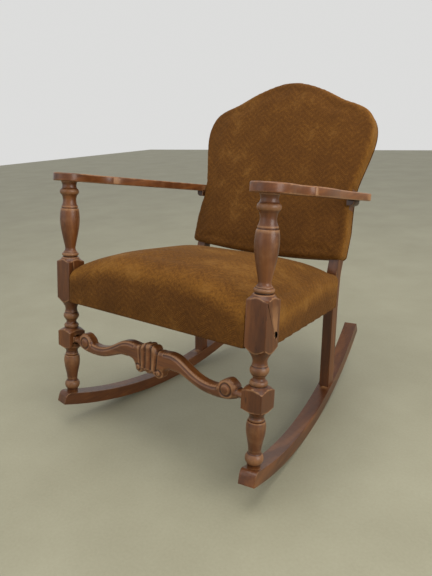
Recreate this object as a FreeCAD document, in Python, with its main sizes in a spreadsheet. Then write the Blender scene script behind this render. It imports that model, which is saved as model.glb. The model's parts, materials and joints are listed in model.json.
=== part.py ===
import FreeCAD, Part
import Sketcher
import math
import os

from FreeCAD import Placement, Rotation, Vector

# Upholstered rocking chair with turned front posts, in millimetres.
# Row frame: +X to the right as seen from the front, +Y towards the back, +Z up.
# Origin: on the floor, midway between the points where the two rockers touch it at rest.
# Chair frame: the same axes leaned back by rest_lean, with its origin at the foot of the front posts.
# Back frame: the chair frame raked back by back_rake at the bend of the rear posts.

doc = FreeCAD.newDocument("rocking_chair")
sheet = doc.addObject("Spreadsheet::Sheet", "dimensions")

DIMENSIONS = [
    # name, value, what it is
    ("rest_lean", 7.8, "backward lean of the whole chair at rest, degrees"),
    ("foot_height", 77.6, "floor to the foot of the front posts"),
    ("rocker_radius", 858.0, "radius of the rolling edge"),
    ("rocker_depth", 30.0, "radial depth of a rocker"),
    ("rocker_width", 35.0, "thickness of a rocker across the chair"),
    ("rocker_front", 22.1, "angle from the contact point to the front end, degrees"),
    ("rocker_rear", 28.9, "angle from the contact point to the rear end, degrees"),
    ("contact_setback", 285.0, "front posts' foot to the contact point, along the floor"),
    ("post_spacing", 560.0, "front posts, centre to centre"),
    ("post_size", 46.0, "front post's square"),
    ("post_height", 536.8, "foot of the front post to its top"),
    ("tenon_radius", 9.0, "turned tenons of the front posts"),
    ("tenon_length", 14.0, "turned tenon into the arm"),
    ("foot_tenon", 18.0, "turned tenon into the rocker"),
    ("lower_block_base", 128.5, "foot to the underside of the stretcher block"),
    ("lower_block_top", 167.0, "foot to the top of the stretcher block"),
    ("upper_block_base", 253.0, "foot to the underside of the seat block"),
    ("upper_block_top", 345.0, "foot to the top of the seat block"),
    ("rear_spacing", 432.0, "rear posts, centre to centre"),
    ("rear_width", 26.0, "rear post across the chair"),
    ("rear_depth", 28.0, "rear post front to back"),
    ("seat_depth", 436.0, "front posts to rear posts, centre to centre at the seat"),
    ("leg_kick", 13.5, "backward kick of the rear leg's foot"),
    ("knee_height", 240.0, "where the rear leg starts to kick back"),
    ("bend_height", 330.0, "where the rear post starts to rake back"),
    ("back_rake", 15.0, "rake of the back against the chair frame, degrees"),
    ("stile_length", 372.0, "rear post above its bend"),
    ("foot_dowel_base", 14.0, "foot of the front posts to the lower end of a rear leg's dowel"),
    ("rail_base", 253.0, "foot to the underside of the seat rails"),
    ("rail_height", 59.0, "height of a seat rail"),
    ("rail_thick", 22.0, "thickness of a seat rail"),
    ("rear_rail_height", 45.0, "height of the rear seat rail"),
    ("rail_setback", 3.0, "front rail's face behind the front of the posts"),
    ("side_offset", 1.0, "side rail outboard of the posts' centre line"),
    ("dowel_radius", 5.0, "dowels of the seat and back frames"),
    ("dowel_length", 38.0, "length of a dowel"),
    ("block_leg", 58.0, "leg of a corner block's triangle"),
    ("block_height", 32.0, "height of a corner block"),
    ("screw_radius", 2.2, "shank radius of a wood screw"),
    ("screw_length", 40.0, "length of a wood screw"),
    ("screw_rise", 24.0, "underside of a corner block to its screw"),
    ("block_base", 263.0, "foot to the underside of the corner blocks"),
    ("arm_thick", 19.0, "thickness of an arm"),
    ("arm_slope", 2.3, "fall of an arm towards the back, degrees"),
    ("paddle_radius", 37.0, "rounded front end of an arm"),
    ("arm_rear_width", 44.0, "width of an arm at its rear end"),
    ("arm_reach", 492.0, "front posts to the rear end of an arm"),
    ("edge_round", 3.0, "rounded edges of the arms"),
    ("arm_end_screw", 9.0, "rear end of an arm to its screw"),
    ("plug_radius", 4.0, "radius of the plug over a post's screw"),
    ("plug_depth", 6.0, "depth of that plug"),
    ("plug_height", 277.0, "foot of the front post to that plug"),
    ("bracket_size", 34.0, "length of the block under the rear of an arm"),
    ("bracket_drop", 15.0, "depth of that block"),
    ("stretcher_height", 148.0, "foot to the middle of the stretcher's ends"),
    ("stretcher_thick", 28.0, "front stretcher front to back"),
    ("web_width", 50.0, "width of a webbing strap"),
    ("web_thick", 1.5, "thickness of a webbing strap"),
    ("spring_radius", 34.0, "radius of a seat spring's coil"),
    ("spring_wire", 2.0, "wire radius of a seat spring"),
    ("spring_turns", 5.0, "turns of a seat spring"),
    ("deck_height", 326.0, "foot to the underside of the sprung seat deck"),
    ("crown_height", 393.0, "foot to the top of the seat's crown"),
    ("crown_across", 640.0, "crown radius across the seat"),
    ("crown_along", 860.0, "crown radius front to back"),
    ("crown_flat", 1.0, "how far the crown's ridge is flattened"),
    ("crown_middle", 130.0, "front posts to the highest line of the crown"),
    ("cover_front", 6.0, "seat cover and wadding in front of the front rail"),
    ("cover_side", 4.0, "seat cover and wadding outside a side rail"),
    ("cover_rear", 3.0, "seat cover and wadding behind the rear rail"),
    ("cover_skin", 2.5, "cover cloth and wadding on the seat and back"),
    ("cover_base", 246.0, "foot to the lower edge of the seat cover"),
    ("deck_gap", 1.0, "running gap round the sprung seat deck"),
    ("post_gap", 1.0, "seat and back covers clear of the posts and arms"),
    ("burlap_inset", 10.5, "edge of the back pad to its sacking"),
    ("back_front", 28.5, "stile's centre to the front edge of the back pad"),
    ("back_rear", 16.0, "stile's centre to the outside-back cover"),
    ("back_crown", 16.0, "how far the back pad's middle stands proud"),
    ("back_bottom", 36.0, "bend of the stiles to the lower corners of the back pad"),
    ("bottom_rail", 38.0, "height of the back's bottom rail"),
    ("crest_arch", 58.0, "rise of the arch under the crest rail"),
    ("crest_thick", 20.0, "thickness of the crest and bottom rails of the back"),
]
for row, (name, value, note) in enumerate(DIMENSIONS, start=1):
    sheet.set(f"A{row}", name)
    sheet.set(f"B{row}", str(value))
    sheet.setAlias(f"B{row}", name)
    sheet.set(f"C{row}", note)
doc.recompute()


def dim(name):
    return float(getattr(sheet, name))


def bind(thing, prop, expression):
    """Bind a property to the sheet; words such as post_size become dimensions.post_size."""
    names = sorted((n for n, _, _ in DIMENSIONS), key=len, reverse=True)
    for n in names:
        expression = expression.replace("@" + n, "dimensions." + n)
    thing.setExpression(prop, expression)


# ---------------------------------------------------------------- frames

def chair_frame():
    return Placement(Vector(0, -dim("contact_setback"), dim("foot_height")),
                     Rotation(Vector(1, 0, 0), -dim("rest_lean")))


def back_frame():
    bend = Placement(Vector(0, dim("seat_depth"), dim("bend_height")),
                     Rotation(Vector(1, 0, 0), -dim("back_rake")))
    return chair_frame().multiply(bend)


def in_chair(x=0, y=0, z=0, rotation=None):
    return chair_frame().multiply(Placement(Vector(x, y, z), rotation or Rotation()))


def in_back(x=0, y=0, z=0, rotation=None):
    return back_frame().multiply(Placement(Vector(x, y, z), rotation or Rotation()))


half_front = dim("post_spacing") / 2
half_rear = dim("rear_spacing") / 2
post_half = dim("post_size") / 2
rear_half = dim("rear_width") / 2
rear_y = dim("seat_depth") - dim("rear_depth") / 2
splay = math.degrees(math.atan2(half_front - half_rear, dim("seat_depth")))
rail_top = dim("rail_base") + dim("rail_height")
SIDES = (("left", -1), ("right", 1))

# ---------------------------------------------------------------- helpers

kept = []


def keep(thing, label):
    """Give an object the name of its node and list it for export."""
    thing.Label = label
    kept.append(thing)
    return thing


def feature(name, shape):
    thing = doc.addObject("Part::Feature", name)
    thing.Shape = shape
    return thing


def cut(name, base, *tools):
    """base less each tool in turn, as a document object."""
    for number, tool in enumerate(tools, start=1):
        step = name if number == len(tools) else f"{name}_{number}"
        thing = doc.addObject("Part::Cut", step)
        thing.Base, thing.Tool = base, tool
        base = thing
    return base


def box(name, length, width, height, placement):
    """A box whose three sizes are expressions on the sheet."""
    thing = doc.addObject("Part::Box", name)
    bind(thing, "Length", length)
    bind(thing, "Width", width)
    bind(thing, "Height", height)
    thing.Placement = placement
    return thing


def cylinder(name, radius, height, placement):
    thing = doc.addObject("Part::Cylinder", name)
    bind(thing, "Radius", radius)
    bind(thing, "Height", height)
    thing.Placement = placement
    return thing


def new_body(name):
    return doc.addObject("PartDesign::Body", name)


def sketch_on(body, role, name):
    plane = next(f for f in body.Origin.OriginFeatures if f.Role == role)
    sketch = body.newObject("Sketcher::SketchObject", name)
    sketch.AttachmentSupport = [(plane, "")]
    sketch.MapMode = "FlatFace"
    return sketch


def centred_rectangle(sketch, width, depth):
    """A rectangle about the sketch's origin, with both sizes bound to the sheet."""
    corners = [Vector(-10, -10, 0), Vector(10, -10, 0), Vector(10, 10, 0), Vector(-10, 10, 0)]
    for i in range(4):
        sketch.addGeometry(Part.LineSegment(corners[i], corners[(i + 1) % 4]), False)
    for i in range(4):
        sketch.addConstraint(Sketcher.Constraint("Coincident", i, 2, (i + 1) % 4, 1))
    for i in (0, 2):
        sketch.addConstraint(Sketcher.Constraint("Horizontal", i))
    for i in (1, 3):
        sketch.addConstraint(Sketcher.Constraint("Vertical", i))
    sketch.addConstraint(Sketcher.Constraint("Symmetric", 0, 1, 2, 1, -1, 1))
    wide = sketch.addConstraint(Sketcher.Constraint("DistanceX", 0, 1, 0, 2, 20))
    deep = sketch.addConstraint(Sketcher.Constraint("DistanceY", 1, 1, 1, 2, 20))
    bind(sketch, f"Constraints[{wide}]", width)
    bind(sketch, f"Constraints[{deep}]", depth)


def pad(body, sketch, name, length, midplane=False):
    thing = body.newObject("PartDesign::Pad", name)
    thing.Profile = sketch
    bind(thing, "Length", length)
    thing.Midplane = midplane
    return thing


def smooth(points, start=None, end=None):
    """A curve through the points, leaving and arriving along the given directions."""
    curve = Part.BSplineCurve()
    ends = {}
    if start is not None:
        ends = {"InitialTangent": start, "FinalTangent": end}
    curve.interpolate(Points=points, **ends)
    return curve


def prism(edges, depth, lift):
    """A closed flat outline, extruded by depth along +Z from the height lift."""
    face = Part.Face(Part.Wire(Part.__sortEdges__(edges)))
    face.translate(Vector(0, 0, lift))
    return face.extrude(Vector(0, 0, depth))


def polygon(points):
    corners = [Vector(x, y, 0) for x, y in points]
    return [Part.makeLine(corners[i], corners[(i + 1) % len(corners)]) for i in range(len(corners))]


# ---------------------------------------------------------------- rockers

def rocker(side, sign):
    """A sawn rocker: two concentric arcs, square ends, eased at the front. It toes in with the posts."""
    outer = dim("rocker_radius")
    inner = outer - dim("rocker_depth")
    front = math.radians(-dim("rocker_front"))
    rear = math.radians(dim("rocker_rear"))

    def on(radius, angle):
        return Vector(radius * math.sin(angle), outer - radius * math.cos(angle), 0)

    body = new_body("rocker_blank_" + side)
    sketch = sketch_on(body, "YZ_Plane", "rocker_outline_" + side)
    middle = (front + rear) / 2
    edges = [Part.Arc(on(outer, front), on(outer, middle), on(outer, rear)),
             Part.LineSegment(on(outer, rear), on(inner, rear)),
             Part.Arc(on(inner, rear), on(inner, middle), on(inner, front)),
             Part.LineSegment(on(inner, front), on(outer, front))]
    for edge in edges:
        sketch.addGeometry(edge, False)
    blank = pad(body, sketch, "rocker_pad_" + side, "@rocker_width", midplane=True)
    doc.recompute()
    front_edges = []
    for number, edge in enumerate(blank.Shape.Edges, start=1):
        spot = edge.CenterOfMass
        if abs(edge.BoundBox.XLength - dim("rocker_width")) < 0.01 and spot.y < 0:
            front_edges.append((spot.z, f"Edge{number}"))
    front_edges.sort()
    ease = body.newObject("PartDesign::Fillet", "rocker_nose_" + side)
    ease.Base = (blank, [front_edges[-1][1]])
    bind(ease, "Radius", "@rocker_depth * 0.4")
    body.Tip = ease
    reach = dim("contact_setback")
    x = half_front - (half_front - half_rear) * reach / dim("seat_depth")
    body.Placement = Placement(Vector(sign * x, 0, 0), Rotation(Vector(0, 0, 1), sign * splay))
    return body


# ---------------------------------------------------------------- front posts

def post_profile():
    """The turned outline from the foot up, as (kind, height, radius) steps; an arc also has its middle point."""
    corner = dim("post_size") * 0.74  # just outside the square's half diagonal
    low, high = dim("lower_block_base"), dim("lower_block_top")
    base, top = dim("upper_block_base"), dim("upper_block_top")
    crown = dim("post_height")
    foot = 13.5
    return [
        ("line", 14.0, foot),
        ("line", 16.0, 15.0),
        ("arc", (25.5, 18.5), (35.0, 15.0)),
        ("line", 36.5, 13.0),
        ("arc", (39.0, 12.4), (42.0, 12.8)),
        ("curve", [(66.0, 16.4), (90.0, 19.6), (104.0, 17.6)]),
        ("line", 105.0, 15.0),
        ("arc", (108.0, 15.8), (111.0, 14.6)),
        ("line", low - 13.5, 14.0),
        ("arc", (low - 6.5, 18.0), (low + 1.5, corner)),
        ("line", high - 1.5, corner),
        ("arc", (high + 5.5, 23.0), (high + 10.0, 16.0)),
        ("arc", (high + 15.0, 17.6), (high + 20.0, 15.0)),
        ("arc", (192.0, 12.0), (197.5, 15.0)),
        ("line", 199.0, 15.0),
        ("arc", (207.0, 18.8), (215.5, 15.4)),
        ("line", 218.0, 15.4),
        ("arc", (224.0, 14.2), (232.0, 16.0)),
        ("arc", (base - 8.0, 24.0), (base + 1.5, corner)),
        ("line", top - 1.5, corner),
        ("arc", (top + 4.5, 23.5), (top + 9.5, 20.0)),
        ("line", 355.5, 16.5),
        ("line", 357.0, 16.5),
        ("arc", (361.5, 20.0), (366.0, 16.5)),
        ("line", 368.0, 16.0),
        ("arc", (373.0, 12.8), (378.0, 12.4)),
        ("curve", [(404.0, 17.6), (438.0, 22.8), (462.0, 22.4), (472.0, 20.8)]),
        ("line", 473.0, 19.0),
        ("line", 477.0, 19.4),
        ("arc", (490.0, 15.6), (503.0, 17.6)),
        ("line", 506.0, 20.0),
        ("arc", (512.0, 22.4), (518.0, 20.0)),
        ("line", 519.5, 18.2),
        ("arc", (crown - 10.0, 16.4), (crown - 2.0, 18.6)),
        ("line", crown, 18.6),
    ]


def front_post(side, sign, rocker_piece):
    """A square blank, turned between its blocks and at both tenons, and coped onto the rocker."""
    body = new_body("post_blank_" + side)
    square = sketch_on(body, "XY_Plane", "post_square_" + side)
    centred_rectangle(square, "@post_size", "@post_size")
    square.AttachmentOffset = Placement(Vector(0, 0, -dim("foot_tenon")), Rotation())
    pad(body, square, "post_pad_" + side, "@post_height + @tenon_length + @foot_tenon")
    doc.recompute()
    solid_square = body.Shape.Volume

    lathe = sketch_on(body, "XZ_Plane", "post_turning_" + side)
    tenon = dim("tenon_radius")
    foot = 13.5
    clear = dim("post_size")
    top = dim("post_height") + dim("tenon_length") + 1
    bottom = -dim("foot_tenon") - 1
    here = Vector(tenon, bottom, 0)

    def line_to(radius, height):
        nonlocal here
        there = Vector(radius, height, 0)
        lathe.addGeometry(Part.LineSegment(here, there), False)
        here = there

    line_to(tenon, -8)
    line_to(foot, -8)
    for step in post_profile():
        if step[0] == "line":
            line_to(step[2], step[1])
        elif step[0] == "arc":
            (h1, r1), (h2, r2) = step[1:]
            there = Vector(r2, h2, 0)
            lathe.addGeometry(Part.Arc(here, Vector(r1, h1, 0), there), False)
            here = there
        else:
            points = [here] + [Vector(r, h, 0) for h, r in step[1]]
            lathe.addGeometry(smooth(points), False)
            here = points[-1]
    line_to(tenon, dim("post_height"))
    line_to(tenon, top)
    line_to(clear, top)
    line_to(clear, bottom)
    line_to(tenon, bottom)

    groove = body.newObject("PartDesign::Groove", "post_groove_" + side)
    groove.Profile = lathe
    groove.ReferenceAxis = (lathe, ["V_Axis"])
    groove.Angle = 360
    body.Tip = groove
    doc.recompute()
    if not body.Shape.Volume < 0.8 * solid_square:
        raise RuntimeError("the lathe cut nothing from post " + side)
    body.Placement = in_chair(sign * half_front)
    return cut("post_coped_" + side, body, rocker_piece)


# ---------------------------------------------------------------- rear posts

def rear_post(side, sign, rocker_piece):
    """One sawn plank: a leg that kicks back, a straight stretch at the seat and a raked stile."""
    rake = math.radians(dim("back_rake"))
    kick = dim("leg_kick")
    half = dim("rear_depth") / 2
    knee, bend = dim("knee_height"), dim("bend_height")
    foot = 12.0
    lean = kick / (knee - foot)
    body = new_body("rear_blank_" + side)
    sketch = sketch_on(body, "YZ_Plane", "rear_outline_" + side)

    def edge_points(offset):
        """Foot, knee, bend and top of one edge of the plank; offset is -half in front and +half behind."""
        top = Vector(dim("stile_length") * math.sin(rake) + offset * math.cos(rake),
                     bend + dim("stile_length") * math.cos(rake) - offset * math.sin(rake), 0)
        return [Vector(kick + offset, foot, 0), Vector(offset, knee + offset * lean / 2, 0),
                Vector(offset, bend - offset * math.tan(rake / 2), 0), top]

    front, rear = edge_points(-half), edge_points(half)
    outline = front + rear[::-1]
    for i, start in enumerate(outline):
        sketch.addGeometry(Part.LineSegment(start, outline[(i + 1) % len(outline)]), False)
    blank = pad(body, sketch, "rear_pad_" + side, "@rear_width", midplane=True)
    doc.recompute()
    bends = []
    for number, edge in enumerate(blank.Shape.Edges, start=1):
        spot = edge.CenterOfMass
        across = abs(edge.BoundBox.XLength - dim("rear_width")) < 0.01
        if across and knee - 20 < spot.z < bend + 20:
            bends.append(f"Edge{number}")
    ease = body.newObject("PartDesign::Fillet", "rear_bends_" + side)
    ease.Base = (blank, bends)
    bind(ease, "Radius", "@rear_depth * 4")
    body.Tip = ease
    body.Placement = in_chair(sign * half_rear, dim("seat_depth"))
    return cut("rear_coped_" + side, body, rocker_piece)


# ---------------------------------------------------------------- seat rails and blocks

def front_rail():
    inner = "@post_spacing - @post_size"
    y = -post_half + dim("rail_setback")
    return box("front_rail_blank", inner, "@rail_thick", "@rail_height",
               in_chair(-half_front + post_half, y, dim("rail_base")))


def rear_rail():
    inner = "@rear_spacing - @rear_width"
    y = dim("seat_depth") - dim("rail_thick") / 2
    return box("rear_rail_blank", inner, "@rail_thick", "@rear_rail_height",
               in_chair(-half_rear + rear_half, y, dim("rail_base")))


def side_frame(sign, along=0.0, out=0.0, up=0.0):
    """A point of the side rail's own frame: along it from the front post's centre, outboard, and up."""
    turn = Rotation(Vector(0, 0, 1), sign * splay)
    start = in_chair(sign * half_front, 0, 0, turn)
    return start.multiply(Placement(Vector(sign * out, along, up), Rotation()))


side_run = math.hypot(dim("seat_depth"), half_front - half_rear)


def side_rail(side, sign, posts):
    out = dim("side_offset") - dim("rail_thick") / 2
    start = dim("post_size") * 0.4
    corner = side_frame(sign, start, out, dim("rail_base"))
    if sign < 0:
        corner = side_frame(sign, start, out + dim("rail_thick"), dim("rail_base"))
    blank = box("side_rail_blank_" + side, "@rail_thick", f"{side_run} - @post_size * 0.4 - @rear_depth * 0.3",
                "@rail_height", corner)
    return cut("side_rail_coped_" + side, blank, *posts)


def corner_block(name, corner, legs, height, neighbours):
    """A triangular glue block in a corner of the seat frame, fitted to what it touches."""
    size = dim("block_leg")
    points = [(corner.x, corner.y), (corner.x + legs[0] * size, corner.y),
              (corner.x, corner.y + legs[1] * size)]
    blank = feature(name + "_blank", prism(polygon(points), dim("block_height"), height))
    blank.Placement = chair_frame()
    fitted = cut(name + "_fitted", blank, *neighbours)
    doc.recompute()
    largest = max(fitted.Shape.Solids, key=lambda s: s.Volume)
    return feature(name, largest)


# ---------------------------------------------------------------- arms

def arm_outline():
    """Plan of the right arm: a round paddle, a waist, an eared shoulder and a tapering rear."""
    r = dim("paddle_radius")
    width = dim("arm_rear_width")
    reach = dim("arm_reach")
    inner = half_rear + rear_half
    outer = inner + width
    c = half_front
    waist = r * 0.66
    ear = reach * 0.225
    pts = {
        "tip": Vector(c, -r, 0), "paddle_out": Vector(c + r, 0, 0), "paddle_in": Vector(c - r, 0, 0),
        "waist_out": Vector(c + waist, ear * 0.62, 0), "waist_in": Vector(c - waist, ear * 0.62, 0),
        "ear_out": Vector(c + r * 0.93, ear, 0), "ear_in": Vector(c - r * 0.93, ear, 0),
        "rear_out": Vector(outer, reach, 0), "rear_in": Vector(inner, reach, 0),
    }
    forward = Vector(0, 1, 0)
    out_curve = smooth([pts["paddle_out"], pts["waist_out"], pts["ear_out"]],
                       forward, Vector(1, 0.7, 0)).toShape()
    in_curve = smooth([pts["paddle_in"], pts["waist_in"], pts["ear_in"]],
                      forward, Vector(-1, 0.7, 0)).toShape()
    tail_out = smooth([pts["ear_out"], Vector(outer + 12, reach * 0.62, 0), pts["rear_out"]],
                      Vector(0.1, 1, 0), Vector(-0.02, 1, 0)).toShape()
    tail_in = smooth([pts["ear_in"], Vector(inner + 3, reach * 0.62, 0), pts["rear_in"]],
                     Vector(-0.1, 1, 0), Vector(0, 1, 0)).toShape()
    edges = [Part.Arc(pts["paddle_in"], pts["tip"], pts["paddle_out"]).toShape(), out_curve, in_curve,
             tail_out, tail_in, Part.makeLine(pts["rear_out"], pts["rear_in"])]
    return edges


def arm(side, sign):
    """A shaped board, its edges rounded, with a housing and a mortise for the front post."""
    slab = prism(arm_outline(), dim("arm_thick"), 0)
    rim = [e for e in slab.Edges if e.BoundBox.ZLength < 0.01]
    slab = slab.makeFillet(dim("edge_round"), rim)
    if sign < 0:
        slab = slab.mirror(Vector(), Vector(1, 0, 0))
    blank = feature("arm_board_" + side, slab)
    blank.Placement = in_chair(0, 0, dim("post_height") - 0.8,
                               Rotation(Vector(1, 0, 0), -dim("arm_slope")))
    housing = cylinder("arm_housing_" + side, "18.6", "@tenon_radius",
                       in_chair(sign * half_front, 0, dim("post_height") - dim("tenon_radius")))
    mortise = cylinder("arm_mortise_" + side, "@tenon_radius", "@tenon_length + 4",
                       in_chair(sign * half_front, 0, dim("post_height") - 4))
    return cut("arm_fitted_" + side, blank, housing, mortise)


def arm_bracket(side, sign):
    """The block under the rear of an arm, against the stile."""
    inner = half_rear + rear_half
    slope = Rotation(Vector(1, 0, 0), -dim("arm_slope"))
    y = dim("arm_reach") - dim("bracket_size") * 1.35
    base = in_chair(0, 0, dim("post_height") - 0.8, slope)
    x = inner if sign > 0 else -inner - dim("bracket_size") * 0.6
    corner = base.multiply(Placement(Vector(x, y, -dim("bracket_drop")), Rotation()))
    blank = box("bracket_blank_" + side, "@bracket_size * 0.6", "@bracket_size", "@bracket_drop", corner)
    doc.recompute()
    low = []
    for number, edge in enumerate(blank.Shape.Edges, start=1):
        ends = [v.Point for v in edge.Vertexes]
        along = abs((ends[0] - ends[1]).dot(base.Rotation.multVec(Vector(0, 1, 0))))
        if along > dim("bracket_size") * 0.9 and edge.CenterOfMass.z < blank.Shape.CenterOfMass.z:
            low.append((abs(edge.CenterOfMass.x), number))
    rounded = doc.addObject("Part::Fillet", "bracket_" + side)
    rounded.Base = blank
    radius = dim("bracket_drop") * 0.7
    rounded.Edges = [(max(low)[1], radius, radius)]
    return rounded


# ---------------------------------------------------------------- front stretcher

def stretcher_half(mirror):
    """Upper and lower edges of one wing, from the centre of the crest to the scroll at the post."""
    inner = half_front - post_half
    s = inner / 255.0
    end = dim("stretcher_height")
    k = -1 if mirror else 1

    def p(x, h):
        return Vector(k * x * s, end - 148.0 + h, 0)

    crest = smooth([p(0, 197), p(14, 195), p(25, 186)], Vector(k, 0, 0), Vector(k * 0.6, -1, 0))
    hump = smooth([p(25, 186), p(40, 187.5), p(56, 189), p(80, 186), p(98, 178), p(118, 167), p(138, 158),
                   p(160, 153), p(178, 153), p(190, 157)], Vector(k, 0.5, 0), Vector(k * 0.8, 1, 0))
    scroll = smooth([p(190, 157), p(198, 167), p(209, 173), p(220, 173), p(230, 166), p(235, 157)],
                    Vector(k * 0.3, 1, 0), Vector(k * 0.2, -1, 0))
    neck_top = Part.LineSegment(p(235, 157), p(255, 157))
    face = Part.LineSegment(p(255, 157), p(255, 142))
    neck_low = Part.LineSegment(p(255, 142), p(241, 142))
    belly = smooth([p(241, 142), p(227, 135), p(211, 130.5), p(195, 128.5), p(172, 128.5), p(149, 131), p(125, 138),
                    p(101, 147), p(85, 151.5), p(68, 152), p(50, 150)], Vector(-k, -0.6, 0), Vector(-k, -0.3, 0))
    curl = smooth([p(50, 150), p(43, 142), p(40, 130), p(30, 124), p(20, 127)],
                  Vector(-k, -0.8, 0), Vector(-k * 0.8, 0.6, 0))
    drop = smooth([p(20, 127), p(10, 130), p(0, 128)], Vector(-k, 0.6, 0), Vector(-k, 0, 0))
    curves = (crest, hump, scroll, neck_top, face, neck_low, belly, curl, drop)
    return [c.toShape() for c in curves]


def front_stretcher():
    """A carved serpentine stretcher with a crest, two wings and a scroll at each post."""
    thick = dim("stretcher_thick")
    slab = prism(stretcher_half(False) + stretcher_half(True), thick, -thick / 2)
    inner = half_front - post_half
    tenons = []
    for sign in (-1, 1):
        start = Vector(sign * (inner - 5), dim("stretcher_height"), 0)
        tenons.append(Part.makeCylinder(dim("tenon_radius"), 5 + dim("tenon_length"), start,
                                        Vector(sign, 0, 0)))
    whole = slab.fuse(tenons).removeSplitter()
    blank = feature("stretcher", whole)
    blank.Placement = in_chair(0, 0, 0, Rotation(Vector(1, 0, 0), 90))
    return blank


# ---------------------------------------------------------------- seat interior

def seat_webbing():
    """Straps tacked under the rails: one layer front to back, the other across."""
    w, t = dim("web_width"), dim("web_thick")
    top = dim("rail_base")
    y0 = -post_half + dim("rail_setback") + 3
    y1 = dim("seat_depth") + dim("rail_thick") / 2 - 3
    straps = []
    for i in range(4):
        x = (i - 1.5) * (half_rear - rear_half) * 0.5
        straps.append(Part.makeBox(w, y1 - y0, t, Vector(x - w / 2, y0, top - t)))
    for i in range(4):
        y = dim("seat_depth") * (0.17 + 0.22 * i)
        reach = half_front - (half_front - half_rear) * y / dim("seat_depth") + 8
        straps.append(Part.makeBox(2 * reach, w, t, Vector(-reach, y - w / 2, top - 2 * t)))
    thing = feature("seat_webbing", Part.makeCompound(straps))
    thing.Placement = chair_frame()
    return thing


SPRING_ROWS = (("front", 0.22), ("middle", 0.49), ("rear", 0.76))


def seat_springs():
    """Nine coil springs between the webbing and the deck, in three rows."""
    wire = dim("spring_wire")
    base = dim("rail_base") + wire
    height = dim("deck_height") - wire - base
    radius = dim("spring_radius")
    steps = round(8 * dim("spring_turns"))
    helix = []
    for step in range(steps + 1):
        angle = math.radians(45 * step)
        helix.append(Vector(radius * math.cos(angle), radius * math.sin(angle), height * step / steps))
    section = Part.Wire(Part.makeCircle(wire, helix[0], Vector(0, 1, 0)))
    coil = Part.Wire(smooth(helix).toShape()).makePipeShell([section], True, True)
    rows = []
    for row, share in SPRING_ROWS:
        y = dim("seat_depth") * share
        gap = (half_front - (half_front - half_rear) * share) * 0.5
        springs = []
        for column in (-1, 0, 1):
            one = coil.copy()
            one.translate(Vector(column * gap, y, base))
            springs.append(one)
        thing = feature("seat_springs_" + row, Part.makeCompound(springs))
        thing.Placement = chair_frame()
        rows.append(thing)
    return rows


def seat_plan(grow, notch):
    """Plan of the seat outside its rails, notched round the posts; grow is 0 at the rails and 1 at the cover."""
    side = dim("side_offset") + dim("rail_thick") / 2 + grow * dim("cover_side")
    front = -post_half + dim("rail_setback") - grow * dim("cover_front")
    rear = dim("seat_depth") + dim("rail_thick") / 2 + grow * dim("cover_rear")
    slope = (half_front - half_rear) / dim("seat_depth")
    inner_x = half_front - post_half - notch
    behind = post_half + notch
    before = dim("seat_depth") - dim("rear_depth") / 2 - notch
    rear_x = half_rear - rear_half - notch

    def edge(y):
        return half_front - slope * y + side / math.cos(math.radians(splay))

    half = [(inner_x, front), (inner_x, behind), (edge(behind), behind), (edge(before), before),
            (rear_x, before), (rear_x, rear)]
    return half + [(-x, y) for x, y in half[::-1]]


def pillow(grow, notch, base, drop):
    """A block with the seat's plan and a crowned top; drop lowers the crown."""
    block = prism(polygon(seat_plan(grow, notch)), 200, base)
    top = dim("crown_height") - drop
    across, along = dim("crown_across"), dim("crown_along")
    ridge = top + dim("crown_flat")
    wide = Part.makeCylinder(across, 1200, Vector(0, -300, ridge - across), Vector(0, 1, 0))
    deep = Part.makeCylinder(along, 1200, Vector(-600, dim("crown_middle"), top - along), Vector(1, 0, 0))
    return block.common(wide).common(deep)


def deck_plan(gap):
    """Plan of the sprung deck, inside the rails."""
    slope = (half_front - half_rear) / dim("seat_depth")
    y0 = -post_half + dim("rail_setback") + dim("rail_thick") + 5 + gap
    y1 = dim("seat_depth") - dim("rail_thick") / 2 - 5 - gap
    side = dim("rail_thick") / 2 - dim("side_offset") + 5 + gap
    corner = half_front - post_half - 8 - gap
    behind = post_half + 8 + gap
    rear_corner = half_rear - rear_half - 6 - gap
    before = dim("seat_depth") - dim("rear_depth") / 2 - 6 - gap

    def edge(y):
        return half_front - slope * y - side

    half = [(corner, y0), (corner, behind), (edge(behind), behind), (edge(before), before),
            (rear_corner, before), (rear_corner, y1)]
    half = [(min(x, edge(y)), y) for x, y in half]
    return half + [(-x, y) for x, y in half[::-1]]


def seat_upholstery(rails):
    """Cover, edge roll, deck stuffing and burlap, cut from one crowned block so that they nest."""
    skin = dim("cover_skin")
    outer = pillow(1.0, dim("post_gap"), dim("cover_base"), 0)
    inner = pillow(0.0, dim("post_gap"), dim("cover_base") - 5, skin)
    inside = prism(polygon(deck_plan(dim("deck_gap"))), 300, dim("deck_height"))
    outside = prism(polygon(deck_plan(0.0)), 300, dim("cover_base") - 10)
    shell = outer.cut(inner)

    cover_top = feature("seat_cover_top", shell.common(inside))
    stuffing_base = dim("deck_height") + dim("web_thick")
    above = prism(polygon(deck_plan(dim("deck_gap"))), 300, stuffing_base)
    stuffing = feature("seat_stuffing", inner.common(above))
    burlap = feature("seat_burlap", prism(polygon(deck_plan(dim("deck_gap"))), dim("web_thick"),
                                          dim("deck_height")))
    roll = pillow(0.0, dim("post_gap"), rail_top, skin).cut(outside)
    edge_roll = feature("seat_edge_roll", roll)
    border = feature("seat_border_blank", shell.cut(outside))
    for thing in (cover_top, stuffing, burlap, edge_roll, border):
        thing.Placement = chair_frame()
    return cover_top, stuffing, burlap, edge_roll, cut("seat_cover_border", border, *rails)


def dust_cover():
    """Black cambric under the webbing, inside the lower edge of the cover."""
    base = dim("cover_base") + 1
    plan = seat_plan(-0.5, dim("post_gap") + 1)
    thing = feature("seat_dust_cover", prism(polygon(plan), 1.0, base))
    thing.Placement = chair_frame()
    return thing


# ---------------------------------------------------------------- back

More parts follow.
